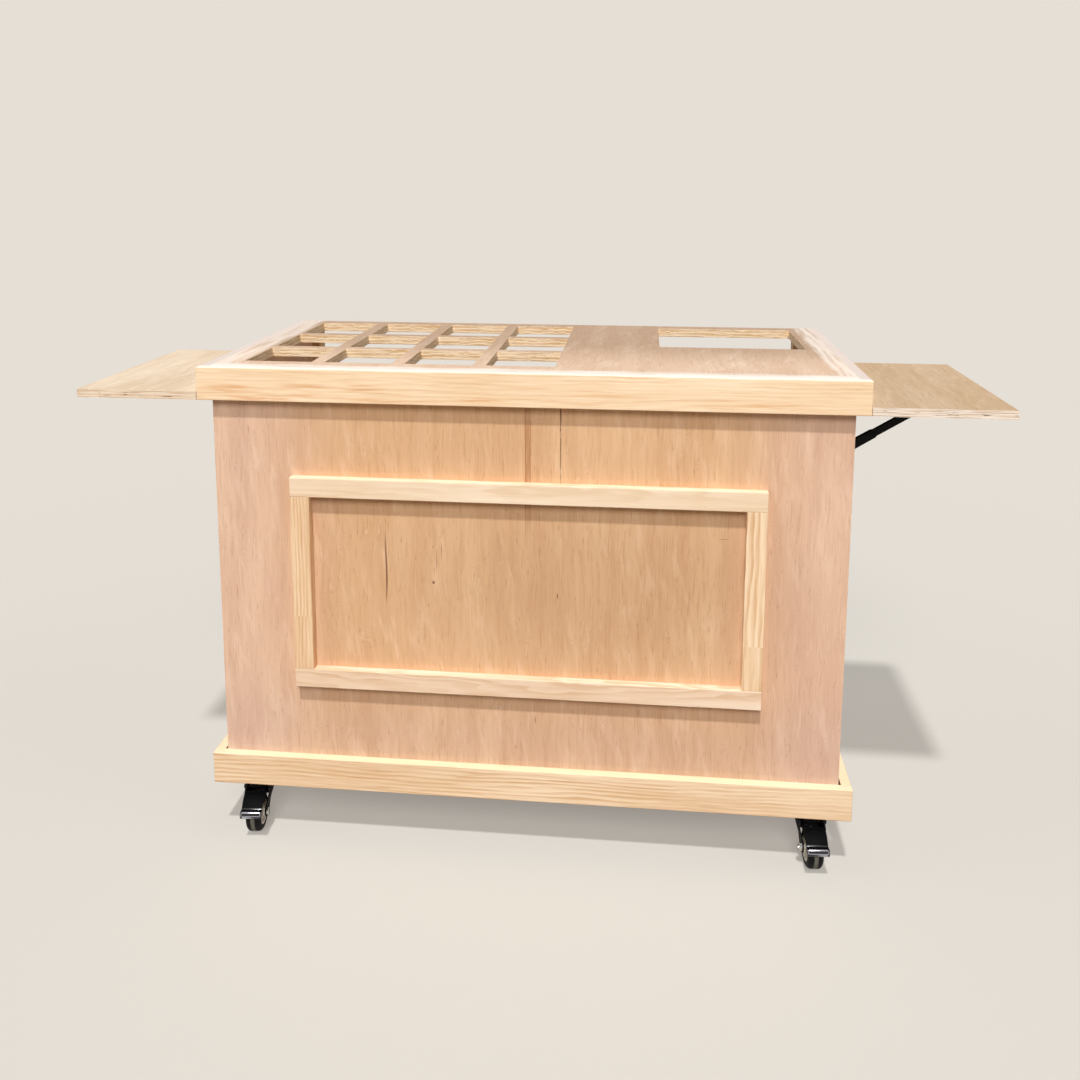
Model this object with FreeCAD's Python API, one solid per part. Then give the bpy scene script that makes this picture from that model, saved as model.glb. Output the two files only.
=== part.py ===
import FreeCAD, Part
import math
import os

from FreeCAD import Vector

# Cheese trolley: an open-backed plywood cabinet on four braked swivel casters, with a framed
# top that holds twelve square bins and one pan, and a drop leaf on a folding bracket at each end.
# Millimetres. X runs to the right, Y from the front to the back, Z up.
# The origin is on the floor, in the middle of the outline with both leaves up.

# ---- Driving sizes -------------------------------------------------------------------------

# Boards and sheets
board_thick = 19.0
board_height = 63.5
panel_thick = 19.0
edge_ease = 0.8

# Cabinet and its two frames of boards
top_width = 1257.0
top_depth = 650.0
case_height = 726.0
side_gap = 5.0
caster_height = 108.0

# Cut-outs in the top
cell_columns = 4
cell_rows = 3
cell_width = 134.2
cell_depth = 159.3
cell_bar = 25.4
cells_margin_left = 68.0
cut_outs_margin_back = 40.5
pan_width = 305.0
pan_depth = 269.0
pan_margin_right = 70.0
router_radius = 4.0

# Raised frame on the front panel
moulding_width = 904.0
moulding_height = 426.0
moulding_board = 38.0
moulding_thick = 19.0
moulding_drop = 148.0

# Inside of the cabinet
post_width = 38.0
cleat_height = 38.0
shelf_setback = 12.0
shelf_above_floor = 340.0

# Drop leaves
leaf_depth = 465.0
leaf_thick = 16.0
leaf_gap = 0.5
leaf_reach_right = 252.0
leaf_reach_left = 240.0

# Folding brackets
bracket_back_right = 232.0
bracket_back_left = 350.0
pin_offset = 11.0
arm_sheet = 2.0
wall_arm_width = 25.0
shelf_arm_length = 246.0
brace_reach = 188.0
brace_drop = 116.0
link_sheet = 1.5
link_width = 18.0
link_play = 0.6
layer_play = 0.5
pin_radius = 2.5
pin_head_radius = 5.0
pin_head_thick = 1.8
running_play = 0.05

# Screws
screw_radius = 2.1
screw_head_radius = 4.2
screw_head_height = 2.2
screw_length = 14.0
hole_play = 0.2

# Casters
caster_side_inset = 48.5
caster_end_inset = 34.0
caster_shift = 3.0
caster_turns = (6.0, 4.0, 182.3, 188.0)
plate_length = 95.0
plate_width = 64.0
plate_thick = 2.5
plate_corner = 8.0
plate_holes_x = 77.0
plate_holes_y = 46.0
race_radius = 26.5
race_depth = 9.0
kingpin_radius = 6.0
crown_radius = 29.5
crown_wall = 1.8
crown_thick = 3.0
swivel_play = 0.5
leg_thick = 2.5
leg_end_radius = 12.5
leg_top_flare = 4.0
leg_flare = 5.5
leg_flare_drop = 36.0
leg_bend_drop = 60.0
leg_nose_reach = 27.0
leg_nose_drop = 30.0
leg_heel_drop = 44.0
leg_heel_radius = 10.0
wheel_air = 5.0
trail = 34.0
wheel_radius = 37.5
tyre_width = 32.0
hub_radius = 25.0
hub_boss_radius = 10.0
fork_play = 0.6
axle_radius = 4.0
nut_across_flats = 13.0
nut_height = 6.0
bolt_head_height = 4.5
pedal_width = 41.0
pedal_thick = 2.6
pedal_air = 6.5
pedal_pin_radius = 2.5
shoe_depth = 1.6
lip_width = 42.0
lip_corner = 5.0
lip_hollow = 1.8
lip_hollow_radius = 9.0

# ---- Places worked out from the sizes ------------------------------------------------------

half_width = top_width / 2
half_depth = top_depth / 2
plinth_bottom = caster_height
plinth_top = plinth_bottom + board_height
apron_bottom = plinth_top + case_height
top_face = apron_bottom + board_height
sheet_bottom = top_face - panel_thick
frame_inside = half_width - board_thick
case_half = frame_inside - side_gap
case_inside = case_half - panel_thick
case_front = board_thick - half_depth
case_back = half_depth - board_thick
panel_back = case_front + panel_thick
floor_top = plinth_bottom + panel_thick
shelf_bottom = floor_top + shelf_above_floor

pin_x = case_half + pin_offset
pin_z = apron_bottom - pin_offset
leaf_inner = half_width + leaf_gap
shelf_arm_width = wall_arm_width + 2 * (arm_sheet + layer_play)
brace_length = math.hypot(brace_reach, brace_drop)
lower_link = (brace_length - (brace_reach - brace_drop)) / 2
upper_link = brace_length - lower_link
brace_angle = math.degrees(math.atan2(brace_drop, brace_reach))
lower_link_half = pin_offset - arm_sheet - link_play
upper_link_half = lower_link_half - link_sheet - layer_play
upper_link_width = link_width - 2 * (link_sheet + layer_play)

fork_inside = tyre_width / 2 + 2.0
axle_z = wheel_radius - caster_height
shift_to_middle = Vector((leaf_reach_left - leaf_reach_right) / 2, 0, 0)

pieces = {}


# ---- Tools for outlines and solids ---------------------------------------------------------

def on_xy(a, b):
    return Vector(a, b, 0)


def on_xz(a, b):
    return Vector(a, 0, b)


def on_yz(a, b):
    return Vector(0, a, b)


def outline(points, plane):
    """A closed wire through (a, b, radius) corners, each rounded by its own radius."""
    count = len(points)
    starts = []
    edges = []
    for i in range(count):
        corner = plane(points[i][0], points[i][1])
        before = plane(points[i - 1][0], points[i - 1][1])
        after = plane(points[(i + 1) % count][0], points[(i + 1) % count][1])
        into = (before - corner).normalize()
        out = (after - corner).normalize()
        radius = points[i][2]
        if radius <= 0:
            starts.append((corner, None, corner))
            continue
        half_angle = into.getAngle(out) / 2
        reach = radius / math.tan(half_angle)
        bisector = (into + out).normalize()
        middle = corner + bisector * (radius / math.sin(half_angle) - radius)
        starts.append((corner + into * reach, middle, corner + out * reach))
    for i in range(count):
        first, middle, last = starts[i]
        if middle is not None:
            edges.append(Part.Arc(first, middle, last).toShape())
        following = starts[(i + 1) % count][0]
        if last.distanceToPoint(following) > 1e-6:
            edges.append(Part.LineSegment(last, following).toShape())
    return Part.Wire(edges)


def prism(points, plane, start, end):
    """The outline pushed from start to end along the plane's own normal."""
    normal = {on_xy: Vector(0, 0, 1), on_xz: Vector(0, 1, 0), on_yz: Vector(1, 0, 0)}[plane]
    face = Part.Face(outline(points, plane))
    face.translate(normal * start)
    return face.extrude(normal * (end - start))


def turned(points, plane, centre, axis):
    """The outline turned once round the axis through the centre."""
    return Part.Face(outline(points, plane)).revolve(centre, axis, 360)


def rod(radius, start, length, axis):
    return Part.makeCylinder(radius, length, start, axis)


def box(x_range, y_range, z_range):
    size = (x_range[1] - x_range[0], y_range[1] - y_range[0], z_range[1] - z_range[0])
    return Part.makeBox(*size, Vector(x_range[0], y_range[0], z_range[0]))


def ease(solid, wanted):
    """Take the sharpness off the edges whose middle point passes the test."""
    edges = [edge for edge in solid.Edges if wanted(edge.CenterOfMass)]
    return solid.makeChamfer(edge_ease, edges)


def mirrored(solid):
    return solid.mirror(Vector(0, 0, 0), Vector(1, 0, 0))


def near(value, target):
    return abs(value - target) < 1e-3


# ---- Cabinet -------------------------------------------------------------------------------

def cell_corners():
    """The low corner of every square bin opening, front row first."""
    first_x = cells_margin_left - half_width
    last_y = half_depth - cut_outs_margin_back - cell_depth
    corners = []
    for row in reversed(range(cell_rows)):
        for column in range(cell_columns):
            x = first_x + column * (cell_width + cell_bar)
            y = last_y - row * (cell_depth + cell_bar)
            corners.append((x, y))
    return corners


def cut_out(x, y, width, depth):
    """What the router takes away for one opening, from its low corner."""
    corners = [(x, y, router_radius), (x + width, y, router_radius),
               (x + width, y + depth, router_radius), (x, y + depth, router_radius)]
    return prism(corners, on_xy, sheet_bottom - 1, top_face + 1)


def make_top():
    """The top sheet with its bin openings and pan opening, and the three apron boards."""
    sheet = box((-frame_inside, frame_inside), (case_front, half_depth), (sheet_bottom, top_face))
    openings = [cut_out(x, y, cell_width, cell_depth) for x, y in cell_corners()]
    pan_x = half_width - pan_margin_right - pan_width
    pan_y = half_depth - cut_outs_margin_back - pan_depth
    openings.append(cut_out(pan_x, pan_y, pan_width, pan_depth))
    pieces["top_sheet"] = sheet.cut(Part.makeCompound(openings))
    front = box((-half_width, half_width), (-half_depth, case_front), (apron_bottom, top_face))
    pieces["apron_front"] = ease(front, lambda p: near(p.y, -half_depth))
    side = box((frame_inside, half_width), (case_front, half_depth), (apron_bottom, top_face))
    side = ease(side, lambda p: near(p.x, half_width) and not near(p.y, case_front))
    pieces["apron_right"] = side
    pieces["apron_left"] = mirrored(side)


def make_case():
    """The front panel, the two sides, the floor, the corner posts and the shelf on its cleats."""
    pieces["front_panel"] = box((-case_half, case_half), (case_front, panel_back), (plinth_bottom, sheet_bottom))
    side = box((case_inside, case_half), (panel_back, case_back), (plinth_bottom, sheet_bottom))
    pieces["side_panel_right"] = side.cut(Part.makeCompound(wall_screw_holes(bracket_back_right)))
    holes = [mirrored(hole) for hole in wall_screw_holes(bracket_back_left)]
    pieces["side_panel_left"] = mirrored(side).cut(Part.makeCompound(holes))
    pieces["floor_panel"] = box((-case_inside, case_inside), (panel_back, case_back), (plinth_bottom, floor_top))
    caster_holes = Part.makeCompound(caster_screw_holes())
    for name in ("front_panel", "side_panel_right", "side_panel_left", "floor_panel"):
        pieces[name] = pieces[name].cut(caster_holes)
    posts = []
    post_inside = case_inside - board_thick
    for y in (panel_back, case_back - post_width):
        post = box((post_inside, case_inside), (y, y + post_width), (floor_top, sheet_bottom))
        posts.extend([post, mirrored(post)])
    pieces["corner_posts"] = Part.makeCompound(posts)
    cleat = box((post_inside, case_inside), (panel_back + post_width, case_back - post_width),
                (shelf_bottom - cleat_height, shelf_bottom))
    pieces["shelf_cleats"] = Part.makeCompound([cleat, mirrored(cleat)])
    shelf = box((-case_inside, case_inside), (panel_back, case_back - shelf_setback),
                (shelf_bottom, shelf_bottom + panel_thick))
    pieces["shelf"] = shelf.cut(pieces["corner_posts"])


def make_plinth():
    """Four boards round the foot of the cabinet. The front and back ones cover the sides' ends."""
    levels = (plinth_bottom, plinth_top)
    front = box((-half_width, half_width), (-half_depth, case_front), levels)
    pieces["plinth_front"] = ease(front, lambda p: near(p.y, -half_depth))
    back = box((-half_width, half_width), (case_back, half_depth), levels)
    pieces["plinth_back"] = ease(back, lambda p: near(p.y, half_depth))
    side = box((frame_inside, half_width), (case_front, case_back), levels)
    side = ease(side, lambda p: near(p.x, half_width) and near(p.y, 0))
    pieces["plinth_right"] = side
    pieces["plinth_left"] = mirrored(side)


def make_moulding():
    """The raised frame on the front panel: two full-width rails with two stiles between them."""
    front = case_front - moulding_thick
    half = moulding_width / 2
    top = apron_bottom - moulding_drop
    bottom = top - moulding_height
    rail = box((-half, half), (front, case_front), (top - moulding_board, top))
    rail = ease(rail, lambda p: near(p.y, front))
    pieces["moulding_rail_top"] = rail
    lower = rail.copy()
    lower.translate(Vector(0, 0, moulding_board - moulding_height))
    pieces["moulding_rail_bottom"] = lower
    stile = box((half - moulding_board, half), (front, case_front), (bottom + moulding_board, top - moulding_board))
    stile = ease(stile, lambda p: near(p.y, front) and near(p.z, (top + bottom) / 2))
    pieces["moulding_stile_right"] = stile
    pieces["moulding_stile_left"] = mirrored(stile)


# ---- Leaves and folding brackets -----------------------------------------------------------
# Each bracket is drawn round its corner pin: u runs away from the cabinet, w runs up. The lower
# link hangs on the wall arm, the upper link on the shelf arm, and they meet in a knee. The link
# lengths let the knee lie straight with the leaf up and shut flat with the leaf down.

def channel(points, hollow, width, sheet):
    """A pressed channel: a side outline the full width across, hollowed between its flanges."""
    body = prism(points, on_xz, -width / 2, width / 2)
    inside = width / 2 - sheet
    return body.cut(prism(hollow, on_xz, -inside, inside))


def pin_hole(u, w):
    return rod(pin_radius + running_play, Vector(u, -top_depth, w), 2 * top_depth, Vector(0, 1, 0))


def make_wall_arm():
    """The short arm, screwed to the cabinet's side, with the corner pin's ears at its top."""
    foot = brace_drop + 2 * lower_link_half
    flange = pin_offset - arm_sheet - 2 * layer_play - link_play
    ear = flange - 1
    points = [(-pin_offset, ear, 0), (flange, ear, ear - 0.1),
              (flange, -brace_drop - ear, ear - 0.1), (-pin_offset, -foot, 0)]
    web = -pin_offset + arm_sheet
    hollow = [(web, pin_offset, 0), (pin_offset, pin_offset, 0), (pin_offset, -foot - 1, 0), (web, -foot - 1, 0)]
    arm = channel(points, hollow, wall_arm_width, arm_sheet)
    window_half = wall_arm_width / 4
    window_top = -brace_drop / 5
    window = outline([(-window_half, window_top, window_half - 0.1), (window_half, window_top, window_half - 0.1),
                      (window_half, lower_link - brace_drop - 2 * window_half, window_half - 0.1),
                      (-window_half, lower_link - brace_drop - 2 * window_half, window_half - 0.1)], on_yz)
    window = Part.Face(window).extrude(Vector(arm_sheet + 2, 0, 0))
    window.translate(Vector(-pin_offset - 1, 0, 0))
    arm = arm.cut(window)
    for w in wall_screw_levels():
        hole = rod(screw_radius + hole_play, Vector(-pin_offset - 1, 0, w), arm_sheet + 2, Vector(1, 0, 0))
        arm = arm.cut(hole)
    return arm.cut(pin_hole(0, 0)).cut(pin_hole(0, -brace_drop))


def make_shelf_arm():
    """The long arm under the leaf. Its web starts past the apron, its ears turn on the corner pin."""
    ear = pin_offset - arm_sheet - 2 * layer_play - link_play - 0.5
    web_start = leaf_inner - pin_x + 2
    points = [(-ear, ear, ear - 0.1), (web_start - (pin_offset - ear), ear, 0), (web_start, pin_offset, 0),
              (shelf_arm_length, pin_offset, 0), (shelf_arm_length, ear - 2, 2),
              (shelf_arm_length - 3 * pin_offset, -ear, pin_offset), (-ear, -ear, ear - 0.1)]
    under = pin_offset - arm_sheet
    hollow = [(-pin_offset, under, 0), (shelf_arm_length - arm_sheet, under, 0),
              (shelf_arm_length - arm_sheet, -pin_offset, 0), (-pin_offset, -pin_offset, 0)]
    arm = channel(points, hollow, shelf_arm_width, arm_sheet)
    for u in leaf_screw_places():
        hole = rod(screw_radius + hole_play, Vector(u, 0, under - 1), arm_sheet + 2, Vector(0, 0, 1))
        arm = arm.cut(hole)
    return arm.cut(pin_hole(0, 0)).cut(pin_hole(brace_reach, 0))


def make_lower_link():
    """The outer link, from the wall arm up to the knee, drawn along u from its lower pin."""
    half = lower_link_half
    end = half - 1
    points = [(-half, -half, half - 0.1), (lower_link + end, -end, end - 0.2),
              (lower_link + end, end, end - 0.2), (-half, half, half - 0.1)]
    under = half - link_sheet
    web_end = lower_link * 0.42
    hollow = [(-half - 1, under, 0), (0, under, 0), (0, half + 1, 0), (-half - 1, half + 1, 0)]
    link = channel(points, [(-half - 1, under, 0), (lower_link + half + 1, under, 0),
                            (lower_link + half + 1, -half - 1, 0), (-half - 1, -half - 1, 0)],
                   link_width, link_sheet)
    inside = link_width / 2 - link_sheet
    link = link.cut(prism(hollow, on_xz, -inside, inside))
    link = link.cut(box((web_end, lower_link + 2 * half), (-inside, inside), (-half - 1, half + 1)))
    return link.cut(pin_hole(0, 0)).fuse(knee_buttons())


def make_upper_link():
    """The inner link, from the shelf arm to the knee, with the knee's rivet across its end."""
    half = upper_link_half
    points = [(-half, -half, half - 0.1), (upper_link + half, -half, half - 0.1),
              (upper_link + half, half, half - 0.1), (-half, half, half - 0.1)]
    under = half - link_sheet
    link = channel(points, [(-half - 1, under, 0), (upper_link + half + 1, under, 0),
                            (upper_link + half + 1, -half - 1, 0), (-half - 1, -half - 1, 0)],
                   upper_link_width, link_sheet)
    link = link.cut(pin_hole(0, 0))
    rivet = rod(pin_radius, Vector(upper_link, -upper_link_width / 2, 0), upper_link_width, Vector(0, 1, 0))
    return link.fuse(rivet)


def knee_buttons():
    """The two rivet heads on the outer faces of the lower link, at the knee."""
    thick = wall_arm_width / 2 - arm_sheet - layer_play - link_width / 2
    buttons = []
    for side in (-1, 1):
        start = Vector(lower_link, side * link_width / 2, 0)
        buttons.append(rod(pin_head_radius, start, thick, Vector(0, side, 0)))
    return buttons


def headed_pin(reach, u, w):
    """A pin right across the bracket, with a head outside each outermost flange."""
    head_start = shelf_arm_width / 2 + layer_play / 2
    pin = rod(pin_radius, Vector(u, -head_start, w), 2 * head_start, Vector(0, 1, 0))
    for side in (-1, 1):
        head = rod(pin_head_radius, Vector(u, side * head_start, w), pin_head_thick, Vector(0, side, 0))
        pin = pin.fuse(head)
        if reach:
            collar_length = shelf_arm_width / 2 - arm_sheet - reach - layer_play
            collar = rod(pin_radius + 1.5, Vector(u, side * (reach + layer_play / 2), w),
                         collar_length, Vector(0, side, 0))
            pin = pin.fuse(collar)
    return pin


def stub_rivets():
    """Two short rivets that hang the lower link on the wall arm and leave its middle free."""
    stubs = []
    outside = wall_arm_width / 2
    inside = link_width / 2 - link_sheet
    for side in (-1, 1):
        stub = rod(pin_radius, Vector(0, side * inside, -brace_drop), outside - inside, Vector(0, side, 0))
        collar_length = outside - arm_sheet - link_width / 2 - layer_play
        collar = rod(pin_radius + 1.5, Vector(0, side * (link_width / 2 + layer_play / 2), -brace_drop),
                     collar_length, Vector(0, side, 0))
        stubs.append(stub.fuse(collar))
    return stubs


def wall_screw_levels():
    return (-brace_drop - 8.0, -brace_drop * 0.63, -12.0)


def leaf_screw_places():
    return (brace_reach * 0.2, brace_reach * 0.62, shelf_arm_length - 20)


def screw(place, direction):
    """A pan-head wood screw, its head's underside at the place and its point along direction."""
    shank = rod(screw_radius, place, screw_length, direction)
    head = Part.makeCone(screw_head_radius, screw_head_radius * 0.7, screw_head_height, place, direction * -1)
    return shank.fuse(head)


def screw_hole(place, direction):
    return rod(screw_radius + running_play, place, screw_length + 1, direction)


def wall_screw_holes(back):
    """Pilot holes in a side panel for the wall arm's screws, on the right-hand side."""
    holes = []
    for w in wall_screw_levels():
        place = Vector(case_half, back - half_depth, pin_z + w)
        holes.append(screw_hole(place, Vector(-1, 0, 0)))
    return holes


def set_on_side(solid, back, right):
    """Move a bracket piece from its corner pin's frame to its place on the right or left side."""
    placed = solid.copy()
    placed.translate(Vector(pin_x, back - half_depth, pin_z))
    return placed if right else mirrored(placed)


def lean(solid, place_u, place_w, angle):
    """Turn a link drawn along u by the angle and set its pin at its place in the bracket."""
    leaned = solid.copy()
    leaned.rotate(Vector(0, 0, 0), Vector(0, 1, 0), -angle)
    leaned.translate(Vector(place_u, 0, place_w))
    return leaned


def make_leaf_and_bracket(side, right, reach, back):
    """One drop leaf with its folding bracket, pins and screws."""
    leaf = box((leaf_inner, half_width + reach), (-half_depth, leaf_depth - half_depth),
               (apron_bottom, apron_bottom + leaf_thick))
    leaf_screws = []
    for u in leaf_screw_places():
        place = Vector(u, 0, pin_offset - arm_sheet)
        leaf_screws.append(screw(place, Vector(0, 0, 1)))
        hole_place = Vector(pin_x + u, back - half_depth, apron_bottom - arm_sheet)
        leaf = leaf.cut(screw_hole(hole_place, Vector(0, 0, 1)))
    pieces["leaf_" + side] = leaf if right else mirrored(leaf)
    wall_screws = []
    for w in wall_screw_levels():
        wall_screws.append(screw(Vector(arm_sheet - pin_offset, 0, w), Vector(-1, 0, 0)))
    lower = lean(make_lower_link(), 0, -brace_drop, brace_angle)
    upper = lean(make_upper_link(), brace_reach, 0, 180 + brace_angle)
    upper_half_width = upper_link_width / 2
    bracket = {
        "wall_arm_": make_wall_arm(),
        "shelf_arm_": make_shelf_arm(),
        "lower_link_": lower,
        "upper_link_": upper,
        "wall_fixings_": Part.makeCompound([headed_pin(0, 0, 0)] + stub_rivets() + wall_screws),
        "leaf_fixings_": Part.makeCompound([headed_pin(upper_half_width, brace_reach, 0)] + leaf_screws),
    }
    for name, solid in bracket.items():
        pieces[name + side] = set_on_side(solid, back, right)


# ---- Casters -------------------------------------------------------------------------------
# A caster is drawn with its plate's top at z = 0 on the swivel axis, its wheel trailing
# towards the front, and then turned and set under its corner.

def make_plate():
    """The top plate with its swivel race and the kingpin riveted through it."""
    half_x = plate_length / 2
    half_y = plate_width / 2
    corners = [(-half_x, -half_y), (half_x, -half_y), (half_x, half_y), (-half_x, half_y)]
    plate = prism([(x, y, plate_corner) for x, y in corners], on_xy, -plate_thick, 0)
    for x, y in plate_hole_places():
        plate = plate.cut(rod(screw_radius + hole_play, Vector(x, y, -plate_thick - 1), plate_thick + 2,
                              Vector(0, 0, 1)))
    floor = -plate_thick - race_depth
    race = turned([(0, -plate_thick, 0), (0, floor, 0), (race_radius - 6, floor, 0),
                   (race_radius, floor + 4, 3), (race_radius, -plate_thick, 0)],
                  on_xz, Vector(0, 0, 0), Vector(0, 0, 1))
    head_top = floor - swivel_play - crown_thick - swivel_play
    pin = rod(kingpin_radius, Vector(0, 0, head_top), -plate_thick - head_top, Vector(0, 0, 1))
    head = turned([(0, head_top, 0), (kingpin_radius + 3, head_top, 0), (kingpin_radius + 2, head_top - 3, 1.5),
                   (0, head_top - 3, 0)], on_xz, Vector(0, 0, 0), Vector(0, 0, 1))
    return plate.fuse([race, pin, head])


def plate_hole_places():
    return [(sx * plate_holes_x / 2, sy * plate_holes_y / 2) for sx in (-1, 1) for sy in (-1, 1)]


def crown_levels():
    """The top and bottom face of the crown's floor, below the race."""
    top = -plate_thick - race_depth - swivel_play
    return top, top - crown_thick


def pedal_pin_place():
    return -trail * 0.56, crown_levels()[1] - 10.0


def fork_section(inset):
    """The fork from the front, the inset inside its outer face: flared at the top, straight at the feet."""
    foot = fork_inside + leg_thick - inset
    right = [(foot, axle_z - 2 * leg_end_radius, 0), (foot, -leg_bend_drop, 4 + inset),
             (foot + leg_flare, -leg_flare_drop, 6 - inset), (foot + leg_top_flare, crown_levels()[1] + 1, 0)]
    left = [(-x, z, radius) for x, z, radius in reversed(right)]
    return right + left


def fork_wall(heel, toe, top):
    """The sheet behind the wheel: down from the crown to the heel, then along the legs' back edges
    towards the toe, and cut away round the wheel."""
    along = (toe - heel).normalize()
    inward = Vector(0, along.z, -along.y) * leg_thick
    lift = leg_thick * (1 + along.z) / -along.y
    strip = [(heel.y, top, 0), (heel.y, heel.z, leg_heel_radius), (toe.y, toe.z, 0),
             (toe.y + inward.y, toe.z + inward.z, 0),
             (heel.y - leg_thick, heel.z + lift, leg_heel_radius - leg_thick), (heel.y - leg_thick, top, 0)]
    wall = prism(strip, on_yz, -crown_radius, crown_radius)
    return wall.cut(rod(wheel_radius + wheel_air, Vector(-crown_radius, -trail, axle_z), 2 * crown_radius,
                        Vector(1, 0, 0)))


def make_fork():
    """The swivel crown, a pressed dish round the race, on a bent fork whose two flared legs are
    joined by a wall behind the wheel, with the pedal's pivot pin across it."""
    top, bottom = crown_levels()
    rim = top + race_depth - 1.5
    dish = turned([(kingpin_radius + running_play, top, 0), (crown_radius - crown_wall, top, 0),
                   (crown_radius - crown_wall, rim, 0), (crown_radius, rim, 0), (crown_radius, bottom, 3),
                   (kingpin_radius + running_play, bottom, 0)],
                  on_xz, Vector(0, 0, 0), Vector(0, 0, 1))
    outside = fork_inside + leg_thick
    pin_end = outside + leg_top_flare
    shoulder = math.sqrt(crown_radius ** 2 - pin_end ** 2) - 0.5
    low = axle_z - leg_end_radius
    heel = Vector(0, shoulder, -leg_heel_drop)
    toe = Vector(0, -trail + leg_end_radius, low)
    side_view = [(-shoulder, bottom + 1, 0), (-leg_nose_reach, -leg_nose_drop, 8),
                 (-trail - leg_end_radius, low, leg_end_radius - 0.1),
                 (toe.y, toe.z, leg_end_radius - 0.1), (heel.y, heel.z, leg_heel_radius),
                 (shoulder, bottom + 1, 0)]
    front_view = prism(fork_section(0), on_xz, -2 * trail, crown_radius)
    legs = front_view.common(prism(side_view, on_yz, -2 * pin_end, 2 * pin_end))
    legs = legs.cut(prism(fork_section(leg_thick), on_xz, -2 * trail - 1, crown_radius + 1))
    fork = legs.fuse(front_view.common(fork_wall(heel, toe, bottom + 1)))
    fork = fork.cut(rod(axle_radius + running_play, Vector(-outside - 1, -trail, axle_z), 2 * outside + 2,
                        Vector(1, 0, 0)))
    pin_y, pin_level = pedal_pin_place()
    pin = rod(pedal_pin_radius, Vector(-pin_end, pin_y, pin_level), 2 * pin_end, Vector(1, 0, 0))
    parts = [fork, pin]
    for side in (-1, 1):
        parts.append(rod(pedal_pin_radius + 2, Vector(side * pin_end, pin_y, pin_level), 3, Vector(side, 0, 0)))
    return dish.fuse(parts)


def hexagon(centre_y, centre_z, across_flats):
    corner = across_flats / math.sqrt(3)
    turns = [math.radians(30 + 60 * i) for i in range(6)]
    return [(centre_y + corner * math.cos(t), centre_z + corner * math.sin(t), 0) for t in turns]


def make_axle():
    """The wheel's bolt through both legs, with its hexagon head and its nut."""
    outside = fork_inside + leg_thick
    six_sides = hexagon(-trail, axle_z, nut_across_flats)
    tip = -outside - nut_height - 2
    shank = rod(axle_radius, Vector(tip, -trail, axle_z), outside - tip, Vector(1, 0, 0))
    head = prism(six_sides, on_yz, outside, outside + bolt_head_height)
    nut = prism(six_sides, on_yz, -outside - nut_height, -outside)
    return shank.fuse([head, nut])


def make_tyre():
    """The tread, a crowned ring seated on the hub."""
    half = tyre_width / 2
    shoulder = (half - 3, wheel_radius, 9)
    side = (half, hub_radius + 3, 2)
    points = [(-half + 1.5, hub_radius, 0), (-side[0], side[1], side[2]), (-shoulder[0], shoulder[1], shoulder[2]),
              shoulder, side, (half - 1.5, hub_radius, 0)]
    tyre = turned(points, on_xz, Vector(0, 0, 0), Vector(1, 0, 0))
    tyre.translate(Vector(0, -trail, axle_z))
    return tyre


def make_hub():
    """The hub: a rim, a dished web on each side and a boss that runs on the axle."""
    half = tyre_width / 2 - 1.5
    boss = fork_inside - fork_play
    bore = axle_radius + running_play
    points = [(-half, hub_radius, 0), (-half, hub_radius - 4, 0), (-half / 2.5, hub_radius - 6, 2),
              (-half / 2.5, hub_boss_radius + 1, 2), (-boss, hub_boss_radius, 0), (-boss, bore, 0),
              (boss, bore, 0), (boss, hub_boss_radius, 0), (half / 2.5, hub_boss_radius + 1, 2),
              (half / 2.5, hub_radius - 6, 2), (half, hub_radius - 4, 0), (half, hub_radius, 0)]
    hub = turned(points, on_xz, Vector(0, 0, 0), Vector(1, 0, 0))
    hub.translate(Vector(0, -trail, axle_z))
    return hub


def round_wheel(radius, degrees):
    """A point round the wheel, measured from straight up towards the front."""
    angle = math.radians(degrees)
    return Vector(0, -trail - radius * math.sin(angle), axle_z + radius * math.cos(angle))


def pedal_lip(tip):
    """The turned-out lip at the pedal's tip: round corners, and a shallow hollow along its face."""
    half = lip_width / 2
    upper = Vector(0, tip.y - 9, tip.z + 4)
    lower = Vector(0, tip.y - 11, tip.z - 9.5)
    section = [(tip.y + 4, tip.z + 3.5, 0), (upper.y, upper.z, 3), (lower.y, lower.z, 3),
               (tip.y - 3.5, lower.z - 1, 2), (tip.y + 4, tip.z - 1.5, 0)]
    front_view = [(-half, lower.z - 1, lip_corner), (half, lower.z - 1, lip_corner),
                  (half, upper.z + 1, lip_corner / 2), (-half, upper.z + 1, lip_corner / 2)]
    lip = prism(section, on_yz, -half, half).common(prism(front_view, on_xz, lower.y - 1, tip.y + 5))
    middle = (upper + lower) / 2
    outward = Vector(0, lower.z - upper.z, upper.y - lower.y).normalize()
    centre = middle + outward * (lip_hollow_radius - lip_hollow)
    return lip.cut(rod(lip_hollow_radius, centre - Vector(half - 3, 0, 0), lip_width - 6, Vector(1, 0, 0)))


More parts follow.
